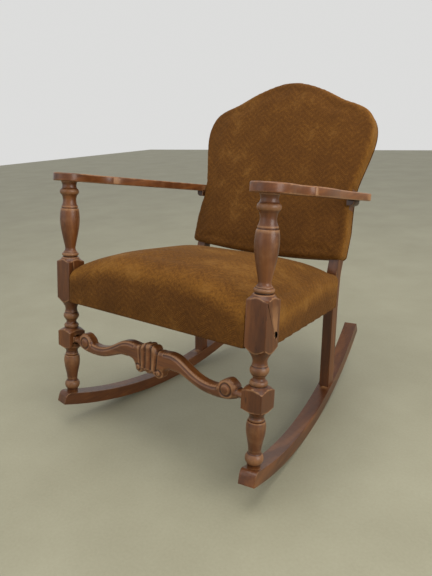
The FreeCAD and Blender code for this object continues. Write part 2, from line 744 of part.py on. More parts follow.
def back_outline(inset=0.0):
    """Camel-back outline in the back frame: x across, y up the rake; inset draws it in."""
    low = dim("back_bottom")
    side = [(0, 503), (45, 497), (85, 484), (130, 464), (165, 447), (200, 435), (231, 418), (250, 390),
            (256, 356), (250, 308), (239, 262), (231, 222), (230.5, 180), (236, 120), (237, low + 12 + inset)]
    lower_mid = low - 11 + inset
    centre = 250.0

    def draw_in(x, v):
        return Vector(max(x - inset, 0) if x else 0, v - inset if v > centre else v, 0)

    right = [draw_in(x, v) for x, v in side]
    corner = Vector(right[-1].x - 12, low + inset, 0)
    foot = Vector(right[-1].x - 3.5, low + 3.5 + inset, 0)
    left = [Vector(-p.x, p.y, 0) for p in right]
    edges = [smooth(right, Vector(1, 0, 0), Vector(0, -1, 0)).toShape(),
             smooth(left, Vector(-1, 0, 0), Vector(0, -1, 0)).toShape(),
             Part.Arc(right[-1], foot, corner).toShape(),
             Part.Arc(left[-1], Vector(-foot.x, foot.y, 0), Vector(-corner.x, corner.y, 0)).toShape(),
             Part.Arc(corner, Vector(0, lower_mid, 0), Vector(-corner.x, corner.y, 0)).toShape()]
    return edges


def back_slab(inset, front, rear):
    """The back's outline, extruded between two depths of the back frame (negative is forward)."""
    face = Part.Face(Part.Wire(Part.__sortEdges__(back_outline(inset))))
    # the outline lies in the sketch plane; stand it up so that y runs up the rake
    face.rotate(Vector(), Vector(1, 0, 0), 90)
    face.translate(Vector(0, front, 0))
    return face.extrude(Vector(0, rear - front, 0))


def back_crowned(inset, rear, drop):
    """The back pad: the outline with a front face that stands proud in the middle."""
    proud = dim("back_front") + dim("back_crown") - drop
    slab = back_slab(inset, -proud - 1, rear)
    middle = 265.0
    half_wide, half_high = 245.0, 240.0
    crown = dim("back_crown")
    r_wide = (half_wide ** 2 + crown ** 2) / (2 * crown)
    r_high = (half_high ** 2 + crown ** 2) / (2 * crown)
    wide = Part.makeCylinder(r_wide, 900, Vector(0, r_wide - proud, -100), Vector(0, 0, 1))
    high = Part.makeCylinder(r_high, 900, Vector(-450, r_high - proud, middle), Vector(1, 0, 0))
    return slab.common(wide).common(high)


def back_rails():
    """Crest rail shaped to the outline, and a straight bottom rail."""
    thick = dim("crest_thick")
    crest = back_slab(9.0, -thick / 2, thick / 2)
    lower = dim("stile_length")
    below = Part.makeBox(700, 100, lower + 100, Vector(-350, -50, -100))
    hollow = Part.makeCylinder(560, 100, Vector(0, -50, lower + dim("crest_arch") - 560), Vector(0, 1, 0))
    crest = crest.cut(below).cut(hollow)
    inner = half_rear - rear_half
    low = dim("back_bottom") + 8
    bottom = Part.makeBox(2 * inner, thick, dim("bottom_rail"), Vector(-inner, -thick / 2, low))
    crest_rail, bottom_rail = feature("crest_blank", crest), feature("bottom_blank", bottom)
    crest_rail.Placement = back_frame()
    bottom_rail.Placement = back_frame()
    return crest_rail, bottom_rail


def back_webbing():
    """Straps across and up the back, on the front of its frame."""
    w, t = dim("web_width"), dim("web_thick")
    front = -dim("rear_depth") / 2
    straps = []
    for i in range(3):
        x = (i - 1) * 110.0
        straps.append(Part.makeBox(w, t, 370, Vector(x - w / 2, front - t, 50)))
    for i in range(3):
        v = 130.0 + 90.0 * i
        reach = half_rear + rear_half - 4
        straps.append(Part.makeBox(2 * reach, t, w, Vector(-reach, front - 2 * t, v - w / 2)))
    thing = feature("back_webbing", Part.makeCompound(straps))
    thing.Placement = back_frame()
    return thing


def back_upholstery(frame_pieces, arm_pieces, arm_fixings):
    """Cover, stuffing, burlap and outside-back panel, nested round the frame."""
    skin = dim("cover_skin")
    rear = dim("back_rear")
    panel_face = rear - dim("web_thick")
    web_face = -dim("rear_depth") / 2 - 2 * dim("web_thick")
    burlap_face = web_face - dim("web_thick")
    outer = back_crowned(0.0, panel_face, 0.0)
    inner = back_crowned(skin, burlap_face, skin)
    sacking = back_slab(dim("burlap_inset"), burlap_face, web_face)
    inside = half_rear - rear_half
    low = dim("back_bottom") + 8
    hollow = Part.makeBox(2 * inside, panel_face - web_face + 5, dim("stile_length") - low,
                          Vector(-inside, web_face, low))
    rise = Part.makeCylinder(560, panel_face - web_face + 5,
                             Vector(0, web_face, dim("stile_length") + dim("crest_arch") - 560),
                             Vector(0, 1, 0))
    above = Part.makeBox(2 * inside, 200, 200, Vector(-inside, -100, dim("stile_length")))
    cover = outer.cut([inner, sacking, hollow, rise.common(above)])
    things = [feature("back_cover_blank", cover), feature("back_stuffing_blank", inner),
              feature("back_burlap_blank", sacking), feature("back_panel", back_slab(1.0, panel_face, rear))]
    for thing in things:
        thing.Placement = back_frame()
    cover, stuffing, burlap, panel = things
    return [cut("back_cover_front", cover, *frame_pieces, *arm_pieces, arm_fixings),
            cut("back_stuffing_fitted", stuffing, *arm_pieces), cut("back_burlap_fitted", burlap, *arm_pieces),
            panel]


# ---------------------------------------------------------------- dowels, screws and plugs

def pin(point, direction, length, radius):
    """A round pin of the chair frame, centred on a point."""
    way = Vector(*direction).normalize()
    start = Vector(*point) - way * (length / 2)
    return Part.makeCylinder(radius, length, start, way)


def rail_dowels():
    """Two dowels in each end of each seat rail."""
    r, length = dim("dowel_radius"), dim("dowel_length")
    pins = []
    heights = [dim("rail_base") + dim("rear_rail_height") * f for f in (0.3, 0.8)]
    side_heights = {"front": [dim("rail_base") + dim("rail_height") * f for f in (0.2, 0.75)],
                    "rear": [dim("rail_base") + dim("rail_height") * f for f in (0.42, 0.8)]}
    y_front = -post_half + dim("rail_setback") + dim("rail_thick") / 2
    lean = math.radians(splay)
    for sign in (-1, 1):
        way = (-sign * math.sin(lean), math.cos(lean), 0)
        for h in heights:
            pins.append(pin((sign * (half_front - post_half), y_front, h), (1, 0, 0), length, r))
            pins.append(pin((sign * (half_rear - rear_half), dim("seat_depth"), h), (1, 0, 0),
                            dim("rear_width") * 1.4, r))
        for end, y, deep in (("front", post_half, length), ("rear", rear_y, dim("rear_depth") * 1.3)):
            x = half_front - (half_front - half_rear) * y / dim("seat_depth") + dim("side_offset")
            for h in side_heights[end]:
                pins.append(pin((sign * x, y, h), way, deep, r))
    thing = feature("rail_dowels", Part.makeCompound(pins))
    thing.Placement = chair_frame()
    return thing


def back_dowels():
    """Dowels from the stiles into the bottom rail and up into the crest rail."""
    r, length = dim("dowel_radius"), dim("dowel_length")
    inside = half_rear - rear_half
    low = dim("back_bottom") + 8
    pins = []
    for sign in (-1, 1):
        for share in (0.25, 0.75):
            pins.append(pin((sign * inside, 0, low + dim("bottom_rail") * share), (1, 0, 0),
                            dim("rear_width") * 1.4, r))
        pins.append(pin((sign * half_rear, 0, dim("stile_length")), (0, 0, 1), length, r))
    thing = feature("back_dowels", Part.makeCompound(pins))
    thing.Placement = back_frame()
    return thing


def wood_screw(head, way, length):
    """A countersunk screw: head centre on the surface, shank along way, conical point."""
    r = dim("screw_radius")
    way = Vector(*way).normalize()
    head = Vector(*head)
    cone = Part.makeCone(2 * r, r, 1.2 * r, head, way)
    shank = Part.makeCylinder(r, length - 3.2 * r, head + way * (1.2 * r), way)
    point = Part.makeCone(r, 0.2 * r, 2 * r, head + way * (length - 2 * r), way)
    return cone.fuse([shank, point]).removeSplitter()


def block_corner(place, sign):
    """Where a corner block's right angle lies, and the ways its two legs run."""
    if place == "front":
        y = -post_half + dim("rail_setback") + dim("rail_thick")
        x = half_front - dim("rail_thick") / 2 + dim("side_offset")
        return Vector(sign * x, y, 0), (-sign, 1)
    y = dim("seat_depth") - dim("rail_thick") / 2
    x = half_rear + dim("side_offset") - dim("rail_thick") / 2 + rear_half * 0.3
    return Vector(sign * x, y, 0), (-sign, -1)


def block_screws():
    """One screw through each corner block towards its post."""
    screws = []
    height = dim("block_base") + dim("screw_rise")
    for place in ("front", "rear"):
        for sign in (-1, 1):
            corner, legs = block_corner(place, sign)
            share = dim("block_leg") / 2
            head = (corner.x + legs[0] * share, corner.y + legs[1] * share, height)
            screws.append(wood_screw(head, (-legs[0], -legs[1], 0), dim("screw_length")))
    thing = feature("block_screws", Part.makeCompound(screws))
    thing.Placement = chair_frame()
    return thing


def post_fixings():
    """A sunk screw through the side of each front post into its corner block, and its wooden plug."""
    screws, plugs = [], []
    depth = dim("plug_depth")
    r = dim("plug_radius")
    for sign in (-1, 1):
        face = Vector(sign * (half_front + post_half), post_half * 0.5, dim("plug_height"))
        way = Vector(-sign, 0, 0)
        plugs.append(Part.makeCylinder(r, depth, face, way))
        screws.append(wood_screw(face + way * depth, way, dim("post_size") + dim("screw_length") * 0.4))
    plug = feature("post_plugs", Part.makeCompound(plugs))
    screw = feature("post_screws", Part.makeCompound(screws))
    plug.Placement = chair_frame()
    screw.Placement = chair_frame()
    return plug, screw


def arm_screws():
    """A screw through each stile into the inner edge of its arm."""
    slope = math.radians(dim("arm_slope"))
    screws = []
    for sign in (-1, 1):
        y = dim("arm_reach") - dim("arm_end_screw")
        h = dim("post_height") - 0.8 + dim("arm_thick") / 2 * math.cos(slope) - y * math.sin(slope)
        head = (sign * (half_rear - rear_half), y * math.cos(slope), h)
        screws.append(wood_screw(head, (sign, 0, 0), dim("rear_width") + 0.6 * dim("screw_length")))
    thing = feature("arm_screws", Part.makeCompound(screws))
    thing.Placement = chair_frame()
    return thing


# ---------------------------------------------------------------- assembly

def build():
    rockers, bores, foot_dowels = {}, {}, {}
    for side, sign in SIDES:
        rockers[side] = rocker(side, sign)
        bores[side] = cylinder("foot_bore_" + side, "@tenon_radius", "@foot_tenon + 20",
                               in_chair(sign * half_front, 0, -dim("foot_tenon")))
        foot_dowels[side] = cylinder("foot_dowel_" + side, "@dowel_radius + 1", "@dowel_length",
                                     in_chair(sign * half_rear, dim("seat_depth") + dim("leg_kick") * 0.9,
                                              dim("foot_dowel_base")))
    dowels = doc.addObject("Part::Compound", "rocker_dowels")
    dowels.Links = list(foot_dowels.values())
    for side, sign in SIDES:
        rockers[side] = cut("rocker_bored_" + side, rockers[side], bores[side], dowels)
        keep(rockers[side], "rocker_" + side)
    keep(dowels, "rocker_dowels")
    doc.recompute()

    stretcher = keep(front_stretcher(), "front_stretcher")
    pins = keep(rail_dowels(), "rail_dowels")
    plugs, sunk = post_fixings()
    keep(plugs, "post_plugs")
    keep(sunk, "post_screws")
    arm_fixings = keep(arm_screws(), "arm_screws")
    screws = keep(block_screws(), "block_screws")
    back_pins = keep(back_dowels(), "back_dowels")
    fronts, rears = [], []
    for side, sign in SIDES:
        coped = front_post(side, sign, rockers[side])
        post = cut("front_post_cut_" + side, coped, stretcher, pins, plugs, sunk, screws)
        fronts.append(keep(post, "front_post_" + side))
        coped = rear_post(side, sign, rockers[side])
        post = cut("rear_post_cut_" + side, coped, dowels, pins, back_pins, arm_fixings, screws)
        rears.append(keep(post, "rear_post_" + side))
    doc.recompute()

    rail_front = cut("front_rail", front_rail(), pins)
    rail_rear = cut("rear_rail", rear_rail(), pins)
    rails = [keep(rail_front, "seat_rail_front"), keep(rail_rear, "seat_rail_rear")]
    for index, (side, sign) in enumerate(SIDES):
        whole = side_rail(side, sign, (fronts[index], rears[index], rail_front, rail_rear))
        rails.append(keep(cut("side_rail_" + side, whole, pins, screws), "seat_rail_" + side))
    doc.recompute()
    for place, posts in (("front", fronts), ("rear", rears)):
        for index, (side, sign) in enumerate(SIDES):
            corner, legs = block_corner(place, sign)
            name = f"corner_block_{place}_{side}"
            block = corner_block(name, corner, legs, dim("block_base"),
                                 [posts[index], *rails, screws, sunk, pins])
            keep(block, name)

    arms, brackets = [], []
    for index, (side, sign) in enumerate(SIDES):
        board = cut("arm_screwed_" + side, arm(side, sign), arm_fixings, rears[index])
        arms.append(keep(board, "arm_" + side))
        brackets.append(keep(arm_bracket(side, sign), "arm_bracket_" + side))
    doc.recompute()

    keep(seat_webbing(), "seat_webbing")
    for row in seat_springs():
        keep(row, row.Name)
    cover_top, stuffing, burlap, edge_roll, border = seat_upholstery(rails)
    keep(cover_top, "seat_cover_top")
    keep(stuffing, "seat_stuffing")
    keep(burlap, "seat_burlap")
    keep(edge_roll, "seat_edge_roll")
    keep(border, "seat_cover_border")
    keep(dust_cover(), "seat_dust_cover")

    crest, bottom = back_rails()
    crest = keep(cut("crest_rail", crest, back_pins), "back_crest_rail")
    bottom = keep(cut("bottom_rail_piece", bottom, back_pins), "back_bottom_rail")
    straps = keep(back_webbing(), "back_webbing")
    around = [*rears, crest, bottom, back_pins, straps]
    cover, stuffing, burlap, panel = back_upholstery(around, [*arms, *brackets], arm_fixings)
    keep(cover, "back_cover")
    keep(stuffing, "back_stuffing")
    keep(burlap, "back_burlap")
    keep(panel, "back_panel")
    doc.recompute()


def check():
    """Stop unless every object computed and every node is a valid shape with volume."""
    for thing in doc.Objects:
        if "Invalid" in thing.State or "Error" in thing.State:
            raise RuntimeError(f"{thing.Name} failed: {thing.State}")
    labels = [thing.Label for thing in kept]
    if len(set(labels)) != len(labels):
        raise RuntimeError("two nodes share a name")
    for thing in kept:
        shape = thing.Shape
        if shape.isNull() or not shape.isValid() or shape.Volume <= 0:
            raise RuntimeError(f"{thing.Label} has no valid solid")


def export():
    os.makedirs("parts", exist_ok=True)
    for thing in kept:
        thing.Shape.exportStep(os.path.join("parts", thing.Label + ".step"))
        print(f"{thing.Label:28s} {len(thing.Shape.Solids):3d} solids {thing.Shape.Volume / 1000:9.1f} cm3")


build()
check()
export()
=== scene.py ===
import bpy
import bmesh
import json
import math
from mathutils import Matrix, Vector, kdtree


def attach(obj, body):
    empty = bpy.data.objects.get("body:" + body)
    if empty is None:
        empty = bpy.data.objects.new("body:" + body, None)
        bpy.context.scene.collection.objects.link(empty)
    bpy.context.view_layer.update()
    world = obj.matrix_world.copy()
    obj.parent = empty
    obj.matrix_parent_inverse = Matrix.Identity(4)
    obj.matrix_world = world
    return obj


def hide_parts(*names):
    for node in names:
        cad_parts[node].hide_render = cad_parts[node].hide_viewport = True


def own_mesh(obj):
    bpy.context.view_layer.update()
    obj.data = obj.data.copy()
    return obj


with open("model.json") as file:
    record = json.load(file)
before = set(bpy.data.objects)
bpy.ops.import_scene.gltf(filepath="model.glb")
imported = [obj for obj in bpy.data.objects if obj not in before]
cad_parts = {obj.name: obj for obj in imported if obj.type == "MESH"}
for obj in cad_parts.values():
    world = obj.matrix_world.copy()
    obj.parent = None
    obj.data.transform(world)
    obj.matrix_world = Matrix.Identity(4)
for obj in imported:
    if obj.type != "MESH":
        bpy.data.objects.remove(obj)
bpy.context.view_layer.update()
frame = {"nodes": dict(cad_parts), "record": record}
scene = bpy.context.scene
print("frame loaded")

# the chair stands leaned back on its rockers: local axes for the frame and for the raked back
pressWay = frame["record"]["behaviour"]["joints"][0]["axis"]
stance = {
    "lean": math.degrees(math.atan2(-pressWay[1], -pressWay[2])),
    "setback": 0.285,      # contact line to the front posts' foot
    "footHeight": 0.0776,
    "bendBack": 0.436,     # front posts to the bend of the rear posts
    "bendHeight": 0.330,
    "rake": 15.0,
}
chairPlace = (Matrix.Translation((0, -stance["setback"], stance["footHeight"]))
              @ Matrix.Rotation(math.radians(-stance["lean"]), 4, "X"))
backPlace = (chairPlace @ Matrix.Translation((0, stance["bendBack"], stance["bendHeight"]))
             @ Matrix.Rotation(math.radians(-stance["rake"]), 4, "X"))

# camera
viewpoint = {
    "eye": (0.7791, -1.0137, 0.7418), "yaw": 38.15, "pitch": 17.97, "roll": -2.55, "lens": 33.13,
}
cameraData = bpy.data.cameras.new("viewCamera")
cameraData.sensor_width = 36
cameraData.lens = viewpoint["lens"]
camera = bpy.data.objects.new("viewCamera", cameraData)
scene.collection.objects.link(camera)
turn = (Matrix.Rotation(math.radians(viewpoint["yaw"]), 4, "Z")
        @ Matrix.Rotation(math.radians(90 - viewpoint["pitch"]), 4, "X")
        @ Matrix.Rotation(math.radians(viewpoint["roll"]), 4, "Z"))
camera.matrix_world = Matrix.Translation(viewpoint["eye"]) @ turn
scene.camera = camera


class Wire:
    # one output socket of a material, with the usual arithmetic
    def __init__(self, paint, socket):
        self.paint = paint
        self.socket = socket

    def mix(self, operation, first, second=None):
        values = {0: first}
        if second is not None:
            values[1] = second
        return self.paint.add("Math", {"operation": operation}, values)

    def __add__(self, other):
        return self.mix("ADD", self, other)

    def __radd__(self, other):
        return self.mix("ADD", other, self)

    def __sub__(self, other):
        return self.mix("SUBTRACT", self, other)

    def __rsub__(self, other):
        return self.mix("SUBTRACT", other, self)

    def __mul__(self, other):
        return self.mix("MULTIPLY", self, other)

    def __rmul__(self, other):
        return self.mix("MULTIPLY", other, self)

    def sine(self):
        return self.mix("SINE", self)

    def clamp(self):
        return self.paint.add("Clamp", {}, {0: self})

    def wave(self, width):
        return self.mix("PINGPONG", self, width)


class Paint:
    # a material under construction
    def __init__(self, name):
        self.material = bpy.data.materials.new(name)
        self.material.use_nodes = True
        self.tree = self.material.node_tree
        self.shader = self.tree.nodes["Principled BSDF"]

    def add(self, kind, settings=None, inputs=None, out=0):
        node = self.tree.nodes.new("ShaderNode" + kind)
        for key, value in (settings or {}).items():
            if key == "stops":
                stops = node.color_ramp.elements
                while len(stops) < len(value):
                    stops.new(0.5)
                for stop, (place, colour) in zip(stops, value):
                    stop.position = place
                    stop.color = (*colour, 1)
            else:
                setattr(node, key, value)
        for key, value in (inputs or {}).items():
            self.feed(node.inputs[key], value)
        return Wire(self, node.outputs[out])

    def feed(self, socket, value):
        if isinstance(value, Wire):
            self.tree.links.new(value.socket, socket)
        elif socket.type == "RGBA" and len(value) == 3:
            socket.default_value = (*value, 1)
        else:
            socket.default_value = value

    def surface(self, **sockets):
        for name, value in sockets.items():
            self.feed(self.shader.inputs[name.replace("_", " ")], value)
        return self.material

    def place(self, scale=(1, 1, 1), turnBy=(0, 0, 0)):
        here = self.add("TexCoord", {}, {}, 3)
        return self.add("Mapping", {}, {0: here, 2: [math.radians(a) for a in turnBy], 3: scale})

    def noise(self, where, scale, detail=3.0, rough=0.5, warp=0.0):
        return self.add("TexNoise", {}, {"Vector": where, "Scale": scale, "Detail": detail,
                                         "Roughness": rough, "Distortion": warp})

    def ramp(self, value, stops, smooth="LINEAR"):
        return self.add("ValToRGB", {"stops": stops}, {0: value})

    def level(self, value, low, high, newLow=0.0, newHigh=1.0):
        return self.add("MapRange", {"interpolation_type": "SMOOTHSTEP"},
                        {0: value, 1: low, 2: high, 3: newLow, 4: newHigh})

    def blend(self, share, first, second, way="MIX"):
        return self.add("Mix", {"data_type": "RGBA", "blend_type": way}, {0: share, 6: first, 7: second}, 2)

    def attribute(self, name, out=2):
        return self.add("Attribute", {"attribute_name": name}, {}, out)

    def bump(self, height, strength, depth=0.001):
        return self.add("Bump", {}, {"Height": height, "Strength": strength, "Distance": depth})


# show wood: red-brown stain under old satin varnish, pale on worn arrises and dark in the quirks
woodLook = {
    "dark": (0.034, 0.010, 0.0035), "mid": (0.098, 0.031, 0.0080), "light": (0.205, 0.072, 0.0170),
    "worn": (0.31, 0.155, 0.065), "poreAndHollowDark": (0.014, 0.005, 0.002),
    "rough": 0.36, "grain": 26.0, "pore": 260.0,
}


def stainedWood(name, along, turnBy=(0, 0, 0), tone=1.0, scuff=0.5):
    paint = Paint(name)
    look = woodLook
    stretch = [0.07 if axis == along else 1.0 for axis in "xyz"]
    grainPlace = paint.place(stretch, turnBy)
    plain = paint.place()
    figure = paint.noise(grainPlace, look["grain"], 4.0, 0.55, 0.6)
    streak = paint.noise(grainPlace, look["grain"] * 4.2, 3.0, 0.6)
    pores = paint.noise(grainPlace, look["pore"], 2.0, 0.5)
    cloud = paint.noise(plain, 7.0, 2.0)
    tint = figure * 0.62 + streak * 0.26 + cloud * 0.24 - 0.06
    tones = ((0.30, "dark"), (0.50, "mid"), (0.72, "light"))
    colour = paint.ramp(tint, [(stop, [c * tone for c in look[key]]) for stop, key in tones])
    pit = paint.level(pores, 0.36, 0.26)
    colour = paint.blend(pit * 0.55, colour, look["poreAndHollowDark"])
    wear = paint.attribute("wear")
    patch = paint.noise(plain, 38.0, 3.0, 0.6)
    rub = paint.level(wear + patch * 0.7 - 0.35, 0.22 - 0.12 * scuff, 0.75)
    # darker in the hollows, where the wear attribute falls below nothing
    hollowMask = paint.level(wear, -0.12, -0.6)
    colour = paint.blend(rub * (0.45 + 0.35 * scuff), colour, look["worn"])
    colour = paint.blend(hollowMask * 0.8, colour, look["poreAndHollowDark"])
    scratch = paint.noise(paint.place((1.0, 1.0, 0.3)), 190.0, 2.0, 0.7)
    nick = paint.level(scratch, 0.70, 0.78)
    colour = paint.blend(nick * 0.35 * scuff, colour, look["worn"])
    rough = rub * 0.16 + cloud * 0.16 + hollowMask * 0.2 + (look["rough"] - 0.08)
    relief = streak * 0.5 - pit * 0.6 - nick * 0.3
    paint.surface(Base_Color=colour, Roughness=rough, Normal=paint.bump(relief, 0.22, 0.0005))
    return paint.surface(Coat_Weight=0.10, Coat_Roughness=0.16, Specular_IOR_Level=0.36)


# tip: the light pile colour, which the painted highlight on the edges also reaches
mohairLook = {
    "deep": (0.044, 0.016, 0.0034), "pile": (0.102, 0.039, 0.0066), "tip": (0.235, 0.100, 0.0140),
    "worn": (0.24, 0.118, 0.028), "rib": 0.0042, "column": 0.030, "slope": 0.9,
}


def mohair(name, flat=False):
    # cut pile in a herringbone of fine ribs, worn thin in patches; the rounded edges and side borders get a
    # painted highlight
    paint = Paint(name)
    look = mohairLook
    lie = paint.add("TexCoord", {}, {}, 3) if flat else paint.attribute("cloth", 1)
    u = paint.add("SeparateXYZ", {}, {0: lie})
    v = Wire(paint, u.socket.node.outputs[2 if flat else 1])
    # edge: painted highlight weight for the rounded edges and side borders (nothing on the flat outside
    # back)
    edge = 0.0 if flat else Wire(paint, u.socket.node.outputs[2])
    plain = paint.place()
    wander = paint.noise(plain, 9.0, 2.0)
    zig = u.wave(look["column"]) * look["slope"]
    rib = ((v + zig + wander * 0.006) * (2 * math.pi / look["rib"])).sine()
    bold = ((v + zig) * (2 * math.pi / (look["rib"] * 4.0))).sine()
    fibre = paint.noise(paint.place((1, 1, 0.6)), 900.0, 2.0, 0.6)
    tuft = paint.noise(plain, 240.0, 3.0, 0.65)
    cloud = paint.noise(plain, 5.5, 3.0, 0.6, 0.4)
    patch = paint.noise(plain, 17.0, 4.0, 0.65)
    pile = rib * 0.035 + bold * 0.022 + tuft * 0.42 + fibre * 0.22 + cloud * 0.30
    # the edge term lifts the pile towards the tip colour: painted highlight
    pile = pile + patch * 0.22 + edge * 0.20 - 0.09
    colour = paint.ramp(pile, [(0.28, look["deep"]), (0.52, look["pile"]), (0.82, look["tip"])])
    # worn patches, with the edge term adding painted highlight
    thin = paint.level(patch * 0.6 + cloud * 0.4 + edge * 0.12, 0.55, 0.70)
    colour = paint.blend(thin * 0.30, colour, look["worn"])
    relief = rib * 0.30 + bold * 0.22 + tuft * 0.55 + fibre * 0.35
    paint.surface(Base_Color=colour, Roughness=0.86 - thin * 0.08, Normal=paint.bump(relief, 0.5, 0.0012))
    paint.surface(Sheen_Weight=0.07, Sheen_Roughness=0.45, Sheen_Tint=(0.95, 0.55, 0.20))
    return paint.surface(Specular_IOR_Level=0.12)


def plainCloth(name, dark, light, thread, gloss=0.9):
    # an open plain weave
    paint = Paint(name)
    plain = paint.place()
    x = paint.add("SeparateXYZ", {}, {0: plain})
    y, z = (Wire(paint, x.socket.node.outputs[i]) for i in (1, 2))
    across = (x * (2 * math.pi / thread)).sine()
    down = ((y + z) * (2 * math.pi / thread)).sine()
    weave = across * down * 0.5 + 0.5
    slub = paint.noise(plain, 120.0, 3.0)
    colour = paint.blend((weave * 0.6 + slub * 0.5 - 0.05).clamp(), dark, light)
    return paint.surface(Base_Color=colour, Roughness=gloss, Normal=paint.bump(weave + slub, 0.5, 0.0006))


def paleWood(name):
    paint = Paint(name)
    grainPlace = paint.place((0.08, 1, 1))
    figure = paint.noise(grainPlace, 40.0, 4.0)
    colour = paint.ramp(figure, [(0.3, (0.36, 0.24, 0.13)), (0.7, (0.58, 0.43, 0.27))])
    return paint.surface(Base_Color=colour, Roughness=0.72, Normal=paint.bump(figure, 0.2, 0.0005))


def wireSteel(name, dark, light):
    paint = Paint(name)
    mark = paint.noise(paint.place(), 160.0, 3.0)
    colour = paint.blend(paint.level(mark, 0.45, 0.7), light, dark)
    paint.surface(Base_Color=colour, Roughness=mark * 0.3 + 0.22)
    return paint.surface(Metallic=1.0)


woodAlongPost = stainedWood("turnedWood", "z", (-stance["lean"], 0, 0), 1.0, 0.55)
woodAlongRocker = stainedWood("rockerWood", "y", (0, 0, 0), 0.95, 0.8)
# the arms at tone 1.25: painted highlight for the light reflected off the arm tops; scuff 1.0 gives their
# real wear
woodAlongArmPaintedHighlight = stainedWood("armWoodPaintedHighlight", "y", (0, 0, 0), 1.25, 1.0)
woodAcross = stainedWood("stretcherWood", "x", (0, 0, 0), 1.1, 0.7)
# arm brackets and post plugs: wood at tone 0.45 with little wear; on the arm brackets the darkness is
# painted shade under the arms
plugWoodAndBracketPaintedShade = stainedWood("plugWoodAndBracketShade", "y", (0, 0, 0), 0.45, 0.1)
mohairCloth = mohair("mohairPile")
outsideCloth = mohair("outsideBackPile", True)
frameWood = paleWood("frameWood")
jute = plainCloth("juteSacking", (0.20, 0.13, 0.065), (0.50, 0.37, 0.22), 0.0035)
strapCloth = plainCloth("strapJute", (0.24, 0.17, 0.10), (0.56, 0.44, 0.29), 0.0050)
cambric = plainCloth("blackCambric", (0.012, 0.012, 0.013), (0.045, 0.045, 0.047), 0.0012)
springWire = wireSteel("springWire", (0.20, 0.12, 0.08), (0.42, 0.42, 0.44))
screwSteel = wireSteel("screwSteel", (0.16, 0.13, 0.11), (0.38, 0.37, 0.36))
print("finishes mixed")


def dress(node, material):
    # a CAD node keeps its shape and gets its finish
    data = frame["nodes"][node].data
    data.materials.clear()
    data.materials.append(material)


def fromNode(node, weld=0.00002):
    # a welded copy of a CAD node's mesh
    bm = bmesh.new()
    bm.from_mesh(frame["nodes"][node].data)
    bmesh.ops.remove_doubles(bm, verts=bm.verts[:], dist=weld)
    return bm


def settle(bm, name, material, smoothBelow=40.0):
    # finish a bmesh as a piece with soft shading below the given angle
    bm.normal_update()
    for face in bm.faces:
        face.smooth = True
    for edge in bm.edges:
        if len(edge.link_faces) == 2:
            edge.smooth = edge.calc_face_angle(0) < math.radians(smoothBelow)
    data = bpy.data.meshes.new(name)
    bm.to_mesh(data)
    bm.free()
    piece = bpy.data.objects.new(name, data)
    scene.collection.objects.link(piece)
    data.materials.append(material)
    return piece


def markWear(bm, dense=0.012, spread=1):
    # per point: above nothing on proud arrises, below nothing in hollows
    bm.normal_update()
    layer = bm.verts.layers.float.get("wear") or bm.verts.layers.float.new("wear")
    sharp = {}
    for vert in bm.verts:
        bends = [e.calc_face_angle_signed(0) for e in vert.link_edges if len(e.link_faces) == 2]
        proud = (max(bends, default=0) - math.radians(30)) / math.radians(14)
        value = max(0.0, min(1.0, proud))
        if max((e.calc_length() for e in vert.link_edges), default=1) < dense:
            total = max(-1.0, min(1.0, sum(bends) * 0.8))
            value = max(value, total) if total > 0 else total
        sharp[vert.index] = value
    for _ in range(spread):
        blurred = {}
        for vert in bm.verts:
            near = [sharp[e.other_vert(vert).index] for e in vert.link_edges if e.calc_length() < dense]
            mean = sum(near) / len(near) if near else sharp[vert.index]
            blurred[vert.index] = 0.7 * sharp[vert.index] + 0.3 * mean
        sharp = blurred
    for vert in bm.verts:
        vert[layer] = sharp[vert.index]


def softenArris(bm, size, angle=32.0, steps=2):
    # round over the sharp outside edges
    sharp = [e for e in bm.edges if len(e.link_faces) == 2
             and e.calc_face_angle_signed(0) > math.radians(angle)]
    bmesh.ops.bevel(bm, geom=sharp, offset=size, offset_type="OFFSET", affect="EDGES",
                    segments=steps, profile=0.5, material=-1, clamp_overlap=True)


def roundOver(inside, radius):
    if inside >= radius:
        return 0.0
    inside = max(inside, 0.0)
    return radius - math.sqrt(max(radius ** 2 - (radius - inside) ** 2, 0.0))


def tidyFlats(bm, angle=1.0, rim=0.0035):
    # one face for each flat, with a narrow rim so that wear stays at the arris; faces with holes get cuts
    bmesh.ops.dissolve_limit(bm, angle_limit=math.radians(angle), use_dissolve_boundaries=False,
                             verts=bm.verts[:], edges=bm.edges[:])
    broad = [f for f in bm.faces if f.calc_area() > 0.00025]
    whole = [f for f in broad if all(loop.calc_angle() > 0.7 for loop in f.loops)]
    pierced = [f for f in broad if f not in whole and len(f.verts) > 4]
    bmesh.ops.inset_individual(bm, faces=whole, thickness=rim, use_even_offset=False)
    inner = bmesh.ops.triangulate(bm, faces=pierced)["edges"]
    bmesh.ops.subdivide_edges(bm, edges=inner, cuts=5)
    bmesh.ops.triangulate(bm, faces=[f for f in bm.faces if len(f.verts) > 4])


# rockers
rockerShape = {"arris": 0.0022, "flatAngle": 0.3, "sharpAngle": 35}
for side in ("left", "right"):
    bm = fromNode("rocker_" + side)
    tidyFlats(bm, rockerShape["flatAngle"])
    softenArris(bm, rockerShape["arris"], rockerShape["sharpAngle"])
    markWear(bm)
    rocker = settle(bm, "rockerRunner_" + side, woodAlongRocker)
    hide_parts("rocker_" + side)
    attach(rocker, "frame")

